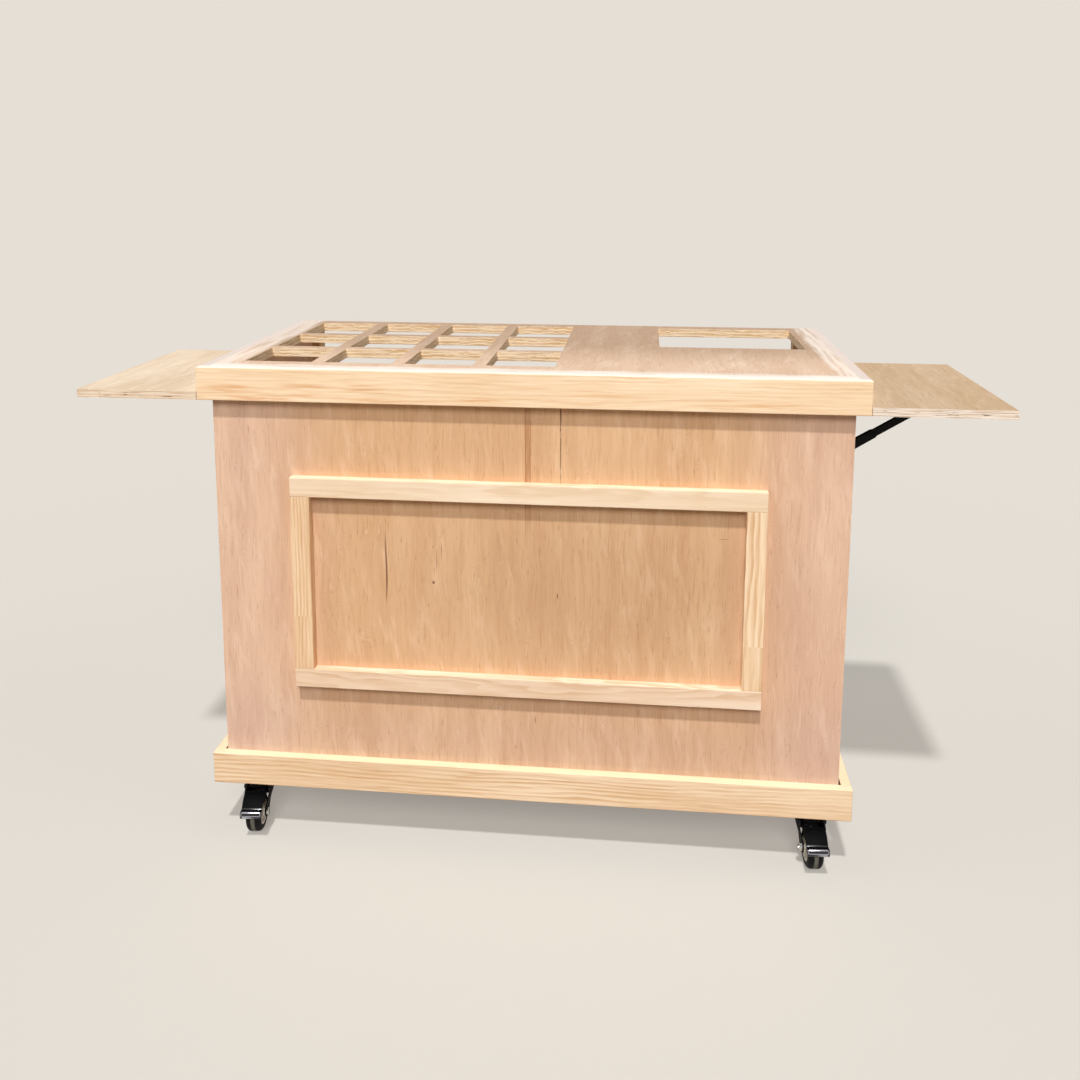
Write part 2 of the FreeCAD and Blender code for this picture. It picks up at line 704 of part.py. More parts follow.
def make_pedal():
    """The brake pedal: a plate curved over the wheel, two ears on the pivot pin and a turned-out lip."""
    inner = wheel_radius + pedal_air
    outer = inner + pedal_thick
    start, end = 6.0, 60.0
    middle = (start + end) / 2
    edges = [Part.Arc(round_wheel(inner, start), round_wheel(inner, middle), round_wheel(inner, end)).toShape(),
             Part.LineSegment(round_wheel(inner, end), round_wheel(outer, end)).toShape(),
             Part.Arc(round_wheel(outer, end), round_wheel(outer, middle), round_wheel(outer, start)).toShape(),
             Part.LineSegment(round_wheel(outer, start), round_wheel(inner, start)).toShape()]
    plate = Part.Face(Part.Wire(edges)).extrude(Vector(pedal_width, 0, 0))
    plate.translate(Vector(-pedal_width / 2, 0, 0))
    parts = []
    for degrees, rib_length in ((start + 1.5, pedal_width + 3), (start + 14, pedal_width / 2)):
        place = round_wheel(outer - 0.4, degrees) + Vector(-rib_length / 2, 0, 0)
        parts.append(rod(1.3, place, rib_length, Vector(1, 0, 0)))
    parts.append(pedal_lip(round_wheel(outer, end)))
    shoe = [round_wheel(inner - shoe_depth, 38), round_wheel(inner - shoe_depth, 52), round_wheel(inner + 1, 52),
            round_wheel(inner + 1, 38)]
    parts.append(prism([(p.y, p.z, 0) for p in shoe], on_yz, -tyre_width / 2 + 3, tyre_width / 2 - 3))
    pin_y, pin_level = pedal_pin_place()
    ear_outside = pedal_width / 2
    mid_plate = (inner + outer) / 2
    seam = [round_wheel(mid_plate, start + degrees) for degrees in (2, 12, 22, 32)]
    cheek = round_wheel(inner - 7, start + 30)
    ear = [(pin_y + 5, pin_level + 5, 3)] + [(p.y, p.z, 0) for p in seam]
    ear += [(cheek.y, cheek.z, 3), (pin_y + 5, pin_level - 5, 3)]
    hole = rod(pedal_pin_radius + running_play, Vector(-pedal_width, pin_y, pin_level), 2 * pedal_width,
               Vector(1, 0, 0))
    for side in (-1, 1):
        span = sorted((side * ear_outside, side * (ear_outside - 3)))
        parts.append(prism(ear, on_yz, *span).cut(hole))
    return plate.fuse(parts)


def caster_corners():
    """Name, swivel axis and turn of each caster."""
    x = case_half - caster_side_inset
    y = case_back - caster_end_inset
    names = ("front_left", "front_right", "back_left", "back_right")
    left, right = caster_shift - x, caster_shift + x
    places = ((left, -y), (right, -y), (left, y), (right, y))
    return list(zip(names, places, caster_turns))


def caster_screw_holes():
    """Pilot holes in the cabinet's underside for the caster plates' screws."""
    holes = []
    for _, (x, y), _ in caster_corners():
        for hole_x, hole_y in plate_hole_places():
            holes.append(screw_hole(Vector(x + hole_x, y + hole_y, plinth_bottom), Vector(0, 0, 1)))
    return holes


def make_casters():
    """Four casters and the screws that hold their plates."""
    screws = []
    for name, (x, y), turn in caster_corners():
        place = Vector(x, y, plinth_bottom)
        plate = make_plate()
        plate.translate(place)
        pieces["caster_plate_" + name] = plate
        moving = {"fork_": make_fork(), "axle_": make_axle(), "tyre_": make_tyre(),
                  "hub_": make_hub(), "pedal_": make_pedal()}
        for part_name, solid in moving.items():
            solid.rotate(Vector(0, 0, 0), Vector(0, 0, 1), turn)
            solid.translate(place)
            pieces[part_name + name] = solid
        for hole_x, hole_y in plate_hole_places():
            screws.append(screw(place + Vector(hole_x, hole_y, -plate_thick), Vector(0, 0, 1)))
    pieces["caster_screws"] = Part.makeCompound(screws)


make_top()
make_case()
make_plinth()
make_moulding()
make_leaf_and_bracket("right", True, leaf_reach_right, bracket_back_right)
make_leaf_and_bracket("left", False, leaf_reach_left, bracket_back_left)
make_casters()

os.makedirs("parts", exist_ok=True)
for name, shape in pieces.items():
    shape.translate(shift_to_middle)
    shape.exportStep("parts/" + name + ".step")
print(len(pieces), "pieces, total height", round(top_face, 1))
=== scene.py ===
import math

import bpy
import numpy as np
from mathutils import Matrix, Vector

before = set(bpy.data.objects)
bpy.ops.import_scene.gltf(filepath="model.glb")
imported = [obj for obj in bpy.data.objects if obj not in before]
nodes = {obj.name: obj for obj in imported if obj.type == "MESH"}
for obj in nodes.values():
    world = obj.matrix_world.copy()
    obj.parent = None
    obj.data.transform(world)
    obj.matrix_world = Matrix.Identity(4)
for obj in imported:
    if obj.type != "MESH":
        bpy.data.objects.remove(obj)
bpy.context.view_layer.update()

# Places and sizes of the construction, in millimetres.
TOP_FACE, TOP_THICK = 961.0, 19.0
LEAF_FACE, LEAF_THICK = 913.5, 16.0
APRON_FRONT, PANEL_FRONT = -325.0, -306.0
# Each caster's swivel axis in millimetres, and its turn in degrees.
CASTERS = {"front_left": ((-559.0, -272.0), 6.0), "front_right": ((553.0, -272.0), 4.0),
           "back_left": ((-559.0, 272.0), 182.3), "back_right": ((553.0, 272.0), 188.0)}

# How far each kind of edge is rounded over, in millimetres, and from which turn an edge is sharp.
BOARD_EDGE, PLYWOOD_EDGE, TOP_EDGE = 0.8, 0.6, 0.5
CASTER_EDGE, BRACKET_EDGE = 0.4, 0.3
SHARP_DEGREES = 40

BACKDROP = "#e6dfd6"
# Sanded wood without a finish is dull and has only a weak sheen.
BARE_WOOD = {"Roughness": 0.6, "Specular_IOR_Level": 0.25}
VENEER_DEPTH = 0.04
PLIES = 5
# How far in from the face the marks of the panel and the streaks of the apron reach.
MARK_DEPTH, STREAK_DEPTH = 12, 60
# The length of the finger-jointed blocks in the moulding's stiles.
STILE_BLOCK = 290.0


# ---- Colours, nodes and patterns -----------------------------------------------------------

def linear(hex_colour):
    """sRGB hex to linear RGBA. Each channel c is divided by 12.92 up to 0.04045, and above that
    it becomes ((c + 0.055) / 1.055) ** 2.4."""
    channels = [int(hex_colour[i:i + 2], 16) / 255 for i in (1, 3, 5)]
    light = [c / 12.92 if c <= 0.04045 else ((c + 0.055) / 1.055) ** 2.4 for c in channels]
    return (*light, 1.0)


def add(tree, kind, inputs=None, out=0, **settings):
    """Adds one node, sets its properties, fills or links its inputs and returns one output. A
    hex string is a colour."""
    node = tree.nodes.new("ShaderNode" + kind)
    for name, value in settings.items():
        setattr(node, name, value)
    for key, value in (inputs or {}).items():
        if isinstance(value, bpy.types.NodeSocket):
            tree.links.new(value, node.inputs[key])
        else:
            node.inputs[key].default_value = linear(value) if isinstance(value, str) else value
    return node.outputs[out] if node.outputs else node


def new_material(name, **constants):
    """An empty principled material, with the constants set straight on the shader's sockets."""
    material = bpy.data.materials.new(name)
    material.use_nodes = True
    tree = material.node_tree
    tree.nodes.clear()
    shader = tree.nodes.new("ShaderNodeBsdfPrincipled")
    output = tree.nodes.new("ShaderNodeOutputMaterial")
    tree.links.new(shader.outputs[0], output.inputs["Surface"])
    for socket, value in constants.items():
        shader.inputs[socket.replace("_", " ")].default_value = value
    return material, tree, shader


def surface(tree, shader, colour, height, depth_mm):
    """Gives the shader its colour, and a bump of the given depth in millimetres."""
    bump = add(tree, "Bump", {"Height": height, "Strength": 1.0, "Distance": depth_mm / 1000})
    tree.links.new(colour, shader.inputs["Base Color"])
    tree.links.new(bump, shader.inputs["Normal"])


def millimetres(tree):
    """Object coordinates in millimetres. The CAD nodes all share the trolley's own frame."""
    place = add(tree, "TexCoord", out="Object")
    return add(tree, "VectorMath", {0: place, 1: (1000, 1000, 1000)}, operation="MULTIPLY")


def share(tree, *parts):
    """The product of its parts. Each is a number, a socket, or a smooth step: a value, the two
    places where the step starts and ends, and, unless they are 0 and 1, its strengths there."""
    product = None
    for part in parts:
        if isinstance(part, tuple):
            value, start, end, least, most = (*part, 0.0, 1.0)[:5]
            part = add(tree, "MapRange", {"Value": value, "From Min": start, "From Max": end,
                                          "To Min": least, "To Max": most},
                       interpolation_type="SMOOTHSTEP")
        if product is None:
            product = part
        else:
            product = add(tree, "Math", {0: product, 1: part}, operation="MULTIPLY")
    return product


def stain(tree, colour, tone, *parts, mode="MIX"):
    """Lays a tone over the colour, as strongly as the share of the parts."""
    return add(tree, "Mix", {0: share(tree, *parts), 6: colour, 7: tone}, 2,
               data_type="RGBA", blend_type=mode)


def strongest(tree, values):
    """The greatest of several shares."""
    greatest = values[0]
    for value in values[1:]:
        greatest = add(tree, "Math", {0: greatest, 1: value}, operation="MAXIMUM")
    return greatest


def apart(tree, one, other):
    """How far two values lie from each other: the size of their difference."""
    difference = add(tree, "Math", {0: one, 1: other}, operation="SUBTRACT")
    return add(tree, "Math", {0: difference}, operation="ABSOLUTE")


def facing(tree, axis):
    """How squarely a piece's surface faces along its own axis: 1 when it does, 0 when it lies
    along it."""
    normal = add(tree, "TexCoord", out="Normal")
    return add(tree, "Math", {0: add(tree, "SeparateXYZ", {0: normal}, axis)}, operation="ABSOLUTE")


def cloudy(tree, place, sizes, shift=(0, 0, 0), detail=2.0, roughness=0.5, out=0):
    """A cloudy pattern, whose patches are about as many millimetres long as the sizes say, along
    X, Y and Z or every way alike: the place is moved, divided by the sizes and fed to noise."""
    sizes = sizes if isinstance(sizes, tuple) else (sizes,) * 3
    where = add(tree, "VectorMath", {0: place, 1: shift}, operation="ADD")
    where = add(tree, "VectorMath", {0: where, 1: tuple(1 / s for s in sizes)},
                operation="MULTIPLY")
    return add(tree, "TexNoise", {"Vector": where, "Scale": 1.0, "Detail": detail,
                                  "Roughness": roughness}, out)


def bent(tree, place, size_mm, amount_mm):
    """The place, pushed about smoothly by up to about half the amount each way."""
    wander = cloudy(tree, place, size_mm, out="Color")
    wander = add(tree, "VectorMath", {0: wander, 1: (0.5, 0.5, 0.5)}, operation="SUBTRACT")
    wander = add(tree, "VectorMath", {0: wander, 1: (amount_mm,) * 3}, operation="MULTIPLY")
    return add(tree, "VectorMath", {0: place, 1: wander}, operation="ADD")


def spot(tree, place, centre, sizes, soft=0.6):
    """1 inside an ellipse round the centre, with the given half sizes, fading to 0 at its edge."""
    offset = add(tree, "VectorMath", {0: place, 1: tuple(-c for c in centre)}, operation="ADD")
    offset = add(tree, "VectorMath", {0: offset, 1: tuple(1 / s for s in sizes)},
                 operation="MULTIPLY")
    reach = add(tree, "VectorMath", {0: offset}, "Value", operation="LENGTH")
    return share(tree, (reach, 1.0, 1.0 - soft))


# ---- Wood ----------------------------------------------------------------------------------

def drawn_out(along, long_mm, cross_mm):
    """A pattern's sizes along X, Y and Z: long along the grain and short across it."""
    return tuple(long_mm if axis == along else cross_mm for axis in "XYZ")


def pine(name, along, across, ring_mm, early, late, contrast, swing_mm, shift, streaks=(),
         painted_upward_tone=None, strokes=0.25, block_mm=0.0, plain_mm=None):
    """Clear softwood board, planed and sanded, unfinished: pale early wood with softer honey
    bands of late wood that run along the board and swing across it in long waves.
    The band field is place across the board / ring spacing, bent by two sizes of noise that are
    stretched along the board; its fraction is one growth ring, darkest just before it ends.
    The tone given for its upward faces is painted light and shade, for how the lamps fall on them;
    strokes is the strength of the fine fibre strokes, block_mm the length of its finger-jointed
    blocks, 0 for a board in one length, and plain_mm the two places along the board between which
    its bands fade to a plain figure."""
    material, tree, shader = new_material(name, **BARE_WOOD)
    place = millimetres(tree)
    board = add(tree, "VectorMath", {0: place, 1: shift}, operation="ADD")
    if block_mm:
        # Every block is cut from another part of the wood.
        level = add(tree, "SeparateXYZ", {0: board}, along)
        block = add(tree, "Math", {0: share(tree, level, 1 / block_mm)}, operation="FLOOR")
        jump = add(tree, "VectorMath", {0: block, 1: (57.0, 57.0, 31.0)}, operation="MULTIPLY")
        board = add(tree, "VectorMath", {0: board, 1: jump}, operation="ADD")
    swing = cloudy(tree, board, drawn_out(along, 560.0, 120.0), detail=1.0)
    wander = cloudy(tree, board, drawn_out(along, 120.0, 22.0), (31, 17, 53))
    rings = share(tree, add(tree, "SeparateXYZ", {0: board}, across), 1 / ring_mm)
    for bend, strength in ((swing, 2.0), (wander, 0.55)):
        rings = add(tree, "Math", {0: bend, 1: strength * swing_mm / ring_mm, 2: rings},
                    operation="MULTIPLY_ADD")
    phase = add(tree, "Math", {0: rings}, operation="FRACT")
    patch = cloudy(tree, board, drawn_out(along, 260.0, 24.0), (7, 71, 3))
    line = share(tree, (phase, 0.15, 0.80), (phase, 1.0, 0.84), (patch, 0.3, 0.66, 0.15, 1.0))
    if plain_mm:
        run = add(tree, "SeparateXYZ", {0: place}, along)
        line = share(tree, line, (run, *plain_mm, 1.0, 0.4))
    fibre = cloudy(tree, board, drawn_out(along, 55.0, 1.3), detail=3.0)
    hair = cloudy(tree, board, drawn_out(along, 110.0, 4.0), (3, 5, 8), 3.0, 0.6)
    cloud = cloudy(tree, board, drawn_out(along, 420.0, 60.0), (211, 9, 37))
    colour = stain(tree, early, late, (cloud, 0.32, 0.68, 0.0, 0.4))
    colour = stain(tree, colour, late, line, contrast)
    colour = stain(tree, colour, late, (hair, 0.5, 0.7, 0.0, strokes), mode="MULTIPLY")
    colour = stain(tree, colour, "#fff1dc", (hair, 0.46, 0.3, 0.0, strokes))
    colour = stain(tree, colour, late, (fibre, 0.4, 0.75, 0.0, 0.12), mode="MULTIPLY")
    if streaks:
        ragged = bent(tree, place, 90.0, 16.0)
        for x, z, long_mm, high_mm, tone in streaks:
            inside = spot(tree, ragged, (x, APRON_FRONT, z), (long_mm, STREAK_DEPTH, high_mm), 0.9)
            colour = stain(tree, colour, tone, inside, (hair, 0.35, 0.62, 0.1, 0.7))
    colour = stain(tree, colour, "#d3ab78", (facing(tree, along), 0.6, 0.9), 0.3)
    # Painted light and shade: upward faces take a tone of their own, for how the lamps fall on them
    # from above.
    if painted_upward_tone:
        colour = stain(tree, colour, painted_upward_tone, (facing(tree, "Z"), 0.6, 0.9, 0.0, 0.85))
    height = add(tree, "Math", {0: line, 1: 0.35, 2: fibre}, operation="MULTIPLY_ADD")
    surface(tree, shader, colour, height, 0.05)
    return material


def maple_face(tree, place, along, tones, shift=(0, 0, 0), bold=1.0, swirl=0.3):
    """Rotary-cut maple veneer, without growth rings: soft bands and streaks drawn out along the
    grain, blurred leaning pale feathers, wandering contour lines, thin strokes and short brown
    flecks. The tones are its light, deep, pale and dark ones, bold is the strength of the bands
    and streaks and swirl that of the contour lines. Returns the colour and a height."""
    light, deep, pale, dark = tones
    board = add(tree, "VectorMath", {0: place, 1: shift}, operation="ADD")
    curved = bent(tree, board, 150.0, 20.0)
    lean = add(tree, "VectorRotate", {"Vector": curved, "Angle": 0.17},
               rotation_type="Y_AXIS" if along == "Z" else "Z_AXIS")
    cloud = cloudy(tree, curved, drawn_out(along, 500.0, 190.0), (61, 17, 23), 1.0)
    bands = cloudy(tree, curved, drawn_out(along, 400.0, 34.0), detail=3.0)
    streaks = cloudy(tree, curved, drawn_out(along, 130.0, 7.0), (13, 5, 77), 3.0, 0.6)
    feathers = cloudy(tree, lean, drawn_out(along, 90.0, 17.0), (81, 44, 9))
    fibre = cloudy(tree, board, drawn_out(along, 42.0, 1.4), (0, 0, 0), 2.0, 0.6)
    stroke = cloudy(tree, curved, drawn_out(along, 85.0, 2.8), (6, 33, 21), 3.0, 0.6)
    fleck = cloudy(tree, curved, drawn_out(along, 24.0, 1.7), (41, 3, 19), 1.0)
    figure = cloudy(tree, curved, drawn_out(along, 120.0, 46.0), (5, 61, 23))
    sparse = cloudy(tree, curved, drawn_out(along, 90.0, 70.0), (19, 2, 50))
    turns = add(tree, "Math", {0: share(tree, figure, 13.0), 1: 0.5}, operation="PINGPONG")
    colour = stain(tree, light, deep, (bands, 0.36, 0.64, 0.0, 0.2 + 0.6 * bold))
    colour = stain(tree, colour, deep, (cloud, 0.38, 0.62, 0.0, 0.45))
    colour = stain(tree, colour, dark, (streaks, 0.5, 0.72, 0.0, 0.3 * bold))
    colour = stain(tree, colour, pale, (feathers, 0.52, 0.74, 0.0, 0.4))
    colour = stain(tree, colour, deep, (feathers, 0.44, 0.26, 0.0, 0.25))
    for near, strength, tone in ((0.0, 1.0, pale), (0.09, 0.7, dark)):
        colour = stain(tree, colour, tone, (apart(tree, turns, near), 0.07, 0.0),
                       (sparse, 0.45, 0.62), strength * swirl)
    colour = stain(tree, colour, dark, (stroke, 0.54, 0.7, 0.0, 0.36))
    colour = stain(tree, colour, pale, (stroke, 0.44, 0.28, 0.0, 0.3))
    colour = stain(tree, colour, dark, (fibre, 0.45, 0.78, 0.0, 0.16))
    colour = stain(tree, colour, dark, (fleck, 0.7, 0.78, 0.0, 0.5), mode="MULTIPLY")
    return colour, add(tree, "Math", {0: streaks, 1: 0.6, 2: fibre}, operation="MULTIPLY_ADD")


def ply_edge(tree, place, thick_mm, top_mm, tones, gap_from, wave_mm=0.8):
    """Plywood seen on its edge: equal plies down from the top face, every other one a little
    deeper, thin brown lines at the joints that come and go, and short dark gaps in the core. The
    tones are the pale plies', the deeper ones' and the lines'. The gaps are where a pattern is
    over gap_from."""
    light, deep, brown = tones
    wave = bent(tree, place, 26.0, wave_mm)
    level = add(tree, "SeparateXYZ", {0: wave}, "Z")
    depth = add(tree, "Math", {0: top_mm, 1: level}, operation="SUBTRACT")
    stripe = add(tree, "Math", {0: share(tree, depth, PLIES / thick_mm), 1: 1.0},
                 operation="PINGPONG")
    shade = cloudy(tree, place, (60.0, 60.0, 5.0), (2, 8, 1))
    comes = cloudy(tree, place, (60.0, 60.0, 2.6), (11, 7, 5))
    grain = cloudy(tree, place, (9.0, 9.0, 0.9), detail=3.0)
    gap = cloudy(tree, place, (26.0, 26.0, 2.2), (3, 9, 27), 1.0)
    colour = stain(tree, light, deep, (stripe, 0.4, 0.75), (shade, 0.35, 0.65, 0.2, 1.0))
    colour = stain(tree, colour, brown, (apart(tree, stripe, 0.5), 0.3, 0.08),
                   (comes, 0.4, 0.6, 0.15, 0.85))
    colour = stain(tree, colour, deep, (grain, 0.45, 0.75, 0.0, 0.35))
    return stain(tree, colour, "#5f4430", (gap, gap_from, gap_from + 0.04),
                 (depth, 0.15 * thick_mm, 0.3 * thick_mm),
                 (depth, 0.85 * thick_mm, 0.7 * thick_mm), 0.8)


def make_front_panel_wood():
    """Maple-faced plywood, sanded, unfinished. The figure runs up and down, pinker towards both
    ends. It carries two veneer joints at its middle, one long split right of them, one pin knot
    and a scatter of short mineral marks."""
    material, tree, shader = new_material("sanded_maple_veneer_panel", **BARE_WOOD)
    place = millimetres(tree)
    across, level = [add(tree, "SeparateXYZ", {0: place}, axis) for axis in "XZ"]
    ragged = bent(tree, place, 26.0, 3.0)

    def marks(where, *sizes):
        """A spot for each x, z, half width, half height and softness."""
        return [spot(tree, where, (x, PANEL_FRONT, z), (wide, MARK_DEPTH, high), soft)
                for x, z, wide, high, soft in sizes]

    tones = ("#dfb78e", "#cda078", "#e9c5a2", "#b38259")
    colour, height = maple_face(tree, place, "Z", tones, bold=0.55)
    foot = share(tree, (level, 400.0, 200.0))
    ends = share(tree, (add(tree, "Math", {0: across}, operation="ABSOLUTE"), 330.0, 560.0))
    colour = stain(tree, colour, "#f3f3f8", foot, mode="MULTIPLY")
    colour = stain(tree, colour, "#f6fdff", (level, 200.0, 176.0), mode="MULTIPLY")
    # Painted shade: the middle of the panel, in the recess inside the moulding, is made a little
    # darker.
    colour = stain(tree, colour, "#f2f1f1", *marks(place, (150, 550, 520, 240, 0.8)),
                   mode="MULTIPLY")
    pinker = strongest(tree, [ends, share(tree, foot, 0.4)])
    colour = stain(tree, colour, "#203250", pinker, mode="ADD")

    hair = cloudy(tree, place, (1.5, 1.5, 60.0), (9, 9, 9), 3.0)
    colour = stain(tree, colour, "#a97145", *marks(ragged, (0, 800, 8.5, 190, 0.7)),
                   (hair, 0.35, 0.6, 0.25, 0.75))
    joints = marks(ragged, (-3.4, 790, 1.2, 190, 0.5), (5.0, 780, 1.0, 180, 0.5))
    colour = stain(tree, colour, "#8a5830", strongest(tree, joints), 0.55)
    broken = cloudy(tree, place, (40, 40, 26), (2, 2, 2), 1.0)
    split = share(tree, *marks(ragged, (62.6, 850, 1.3, 170, 0.5)), (broken, 0.36, 0.5, 0.35, 1.0))
    dark = [*marks(bent(tree, place, 130.0, 9.0), (-276, 570, 2.6, 92, 0.6)),
            *marks(place, (-182.5, 543.4, 3.0, 4.2, 0.4)),
            *marks(ragged, (62.6, 880, 2.2, 24, 0.6), (57.9, 526, 1.6, 8, 0.6)), split]
    colour = stain(tree, colour, "#64391e", strongest(tree, dark), 0.8)
    faint = marks(ragged, (-542, 838, 1.0, 13, 0.6), (-167, 608, 1.1, 24, 0.6),
                  (-176, 590, 1.0, 30, 0.6), (369, 651, 11, 0.9, 0.6), (16, 270, 1.8, 10, 0.6),
                  (-577, 505, 0.9, 24, 0.6), (-331, 437, 1.2, 8, 0.6))
    colour = stain(tree, colour, "#8d5c3a", strongest(tree, faint), 0.6)
    surface(tree, shader, colour, height, VENEER_DEPTH)
    return material


def make_side_wood():
    """The same maple-faced plywood on the ends of the cabinet, a little redder."""
    material, tree, shader = new_material("sanded_maple_veneer_side", **BARE_WOOD)
    tones = ("#e2b898", "#d0a27e", "#edc9ab", "#b4835b")
    colour, height = maple_face(tree, millimetres(tree), "Z", tones, (400, 90, 15), 0.8)
    surface(tree, shader, colour, height, VENEER_DEPTH)
    return material


def make_top_wood():
    """Maple-faced plywood top, sanded through pale filler along the front and both ends. The
    veneer's grain runs from front to back. The cut walls of the openings show the plies."""
    material, tree, shader = new_material("sanded_plywood_top", **BARE_WOOD)
    place = millimetres(tree)
    tones = ("#d6baa1", "#c9a88d", "#e8d0bb", "#ad8d6f")
    colour, height = maple_face(tree, place, "Y", tones, (90, 30, 5), 0.8, 0.9)
    depth = add(tree, "SeparateXYZ", {0: place}, "Y")
    # Painted shade: the top is made darker towards the back.
    colour = stain(tree, colour, "#d4d0cb", (depth, -230.0, 60.0), mode="MULTIPLY")
    ragged = bent(tree, place, 90.0, 22.0)
    across, deep = [add(tree, "SeparateXYZ", {0: ragged}, axis) for axis in "XY"]
    # The filler's three strips, each worn in streaks along its own length.
    strips = []
    for way, strip in (("X", (deep, -268.0, -290.0)), ("Y", (across, -566.0, -586.0, 0.0, 0.7)),
                       ("Y", (across, 562.0, 578.0, 0.0, 0.75))):
        wear = cloudy(tree, place, drawn_out(way, 170.0, 10.0), detail=3.0)
        strips.append(share(tree, strip, (wear, 0.36, 0.54, 0.35, 1.0)))
    colour = stain(tree, colour, "#eee3d9", strongest(tree, strips), 0.85)
    edge = ply_edge(tree, place, TOP_THICK, TOP_FACE, ("#f6e0bf", "#dab180", "#ad7f50"), 0.74, 9.0)
    colour = stain(tree, colour, edge, (facing(tree, "Z"), 0.5, 0.3))
    surface(tree, shader, colour, height, VENEER_DEPTH)
    return material


def make_leaf_wood(name, tones, plies, shift):
    """Birch plywood leaf, sanded: low-contrast streaky face with the grain from front to back,
    and an edge of pale cream and thin brown plies with a few dark gaps in the core."""
    material, tree, shader = new_material(name, **BARE_WOOD)
    place = millimetres(tree)
    colour, height = maple_face(tree, place, "Y", tones, shift, 0.5, 0.25)
    edge = ply_edge(tree, place, LEAF_THICK, LEAF_FACE, plies, 0.64)
    colour = stain(tree, colour, edge, (facing(tree, "Z"), 0.5, 0.3))
    surface(tree, shader, colour, height, VENEER_DEPTH)
    return material


# ---- Metal, rubber and plastic -------------------------------------------------------------

def axle_way(turn):
    """The direction of a caster's axle, when the caster is turned by so many degrees."""
    return Vector((math.cos(math.radians(turn)), math.sin(math.radians(turn)), 0))


def make_paint():
    """Black powder coat on pressed steel: smooth, with a faint orange peel and a little dust."""
    material, tree, shader = new_material("satin_black_powder_coat", Roughness=0.45,
                                          Specular_IOR_Level=0.12)
    place = millimetres(tree)
    dust = cloudy(tree, place, 22.0, detail=4.0)
    tone = stain(tree, "#050505", "#3a3835", (dust, 0.5, 0.8, 0.0, 0.1))
    surface(tree, shader, tone, cloudy(tree, place, 1.6, detail=1.0), 0.015)
    return material


def make_pedal_paint(corner, place_mm, turn):
    """Black paint on a brake pedal: satin on the plate and glossy on the lip, with a painted
    highlight round the rim of the hollow, drawn as pale bare steel where the lamps' reflection runs
    along the lip's edges. The rim is where the distance to a rounded oblong, seen from the front,
    is near the oblong's corner radius: the distance is the length of the part of the offset that
    lies beyond the oblong's own half sizes."""
    half_wide, half_high, corner_mm = 16.0, 0.9, 3.0
    hollow_above_foot, lip_above_foot = 9.6, 14.5
    material, tree, shader = new_material("worn_black_pedal_paint_" + corner)
    place = millimetres(tree)
    axle, middle = axle_way(turn), Vector((*place_mm, 0))
    ahead = Vector((axle.y, -axle.x, 0))
    mesh = nodes["pedal_" + corner].data
    points = np.empty(3 * len(mesh.vertices), dtype=np.float32)
    mesh.vertices.foreach_get("co", points)
    points = 1000 * points.reshape(-1, 3).astype(float)
    lip_foot = float(points[:, 2].min())
    lip_face = float(((points - np.array(middle)) @ np.array(ahead)).max())
    lip_top = lip_foot + lip_above_foot

    level = add(tree, "SeparateXYZ", {0: place}, "Z")
    offset = add(tree, "VectorMath", {0: place, 1: tuple(-middle)}, operation="ADD")
    aside, forward = [add(tree, "VectorMath", {0: offset, 1: tuple(way)}, "Value",
                          operation="DOT_PRODUCT") for way in (axle, ahead)]
    squares = []
    for distance, half in ((apart(tree, aside, 0.0), half_wide),
                           (apart(tree, level, lip_foot + hollow_above_foot), half_high)):
        past = add(tree, "Math", {0: distance, 1: half}, operation="SUBTRACT")
        past = strongest(tree, [past, 0.0])
        squares.append(share(tree, past, past))
    reach = add(tree, "Math", {0: squares[0], 1: squares[1]}, operation="ADD")
    reach = add(tree, "Math", {0: reach}, operation="SQRT")
    rim = share(tree, (apart(tree, reach, corner_mm), 1.0, 0.4),
                (forward, lip_face - 5.0, lip_face - 4.0))

    smear = cloudy(tree, place, 22.0, detail=4.0)
    tone = stain(tree, "#050506", "#121213", (smear, 0.5, 0.8, 0.0, 0.2))
    # Painted highlight: the rim of the hollow is pale bare steel, standing for the lamps'
    # reflection along the lip's edges.
    tone = stain(tree, tone, "#a4a4b2", rim)
    rough = strongest(tree, [share(tree, (level, lip_top, lip_top + 2, 0.2, 0.6)),
                             share(tree, rim, 0.3)])
    tree.links.new(rim, shader.inputs["Metallic"])
    tree.links.new(rough, shader.inputs["Roughness"])
    tree.links.new(share(tree, (level, lip_top, lip_top + 2, 0.6, 0.04)),
                   shader.inputs["Specular IOR Level"])
    surface(tree, shader, tone, cloudy(tree, place, 1.6, detail=1.0), 0.01)
    return material


def make_zinc():
    """Bright zinc plate on small steel fixings: pale grey metal with faint clouding."""
    material, tree, shader = new_material("bright_zinc_plate", Metallic=1.0, Roughness=0.28)
    place = millimetres(tree)
    tone = stain(tree, "#dad9d5", "#b9b7b2", (cloudy(tree, place, 5.0, detail=3.0), 0.35, 0.7))
    surface(tree, shader, tone, cloudy(tree, place, 0.7), 0.01)
    return material


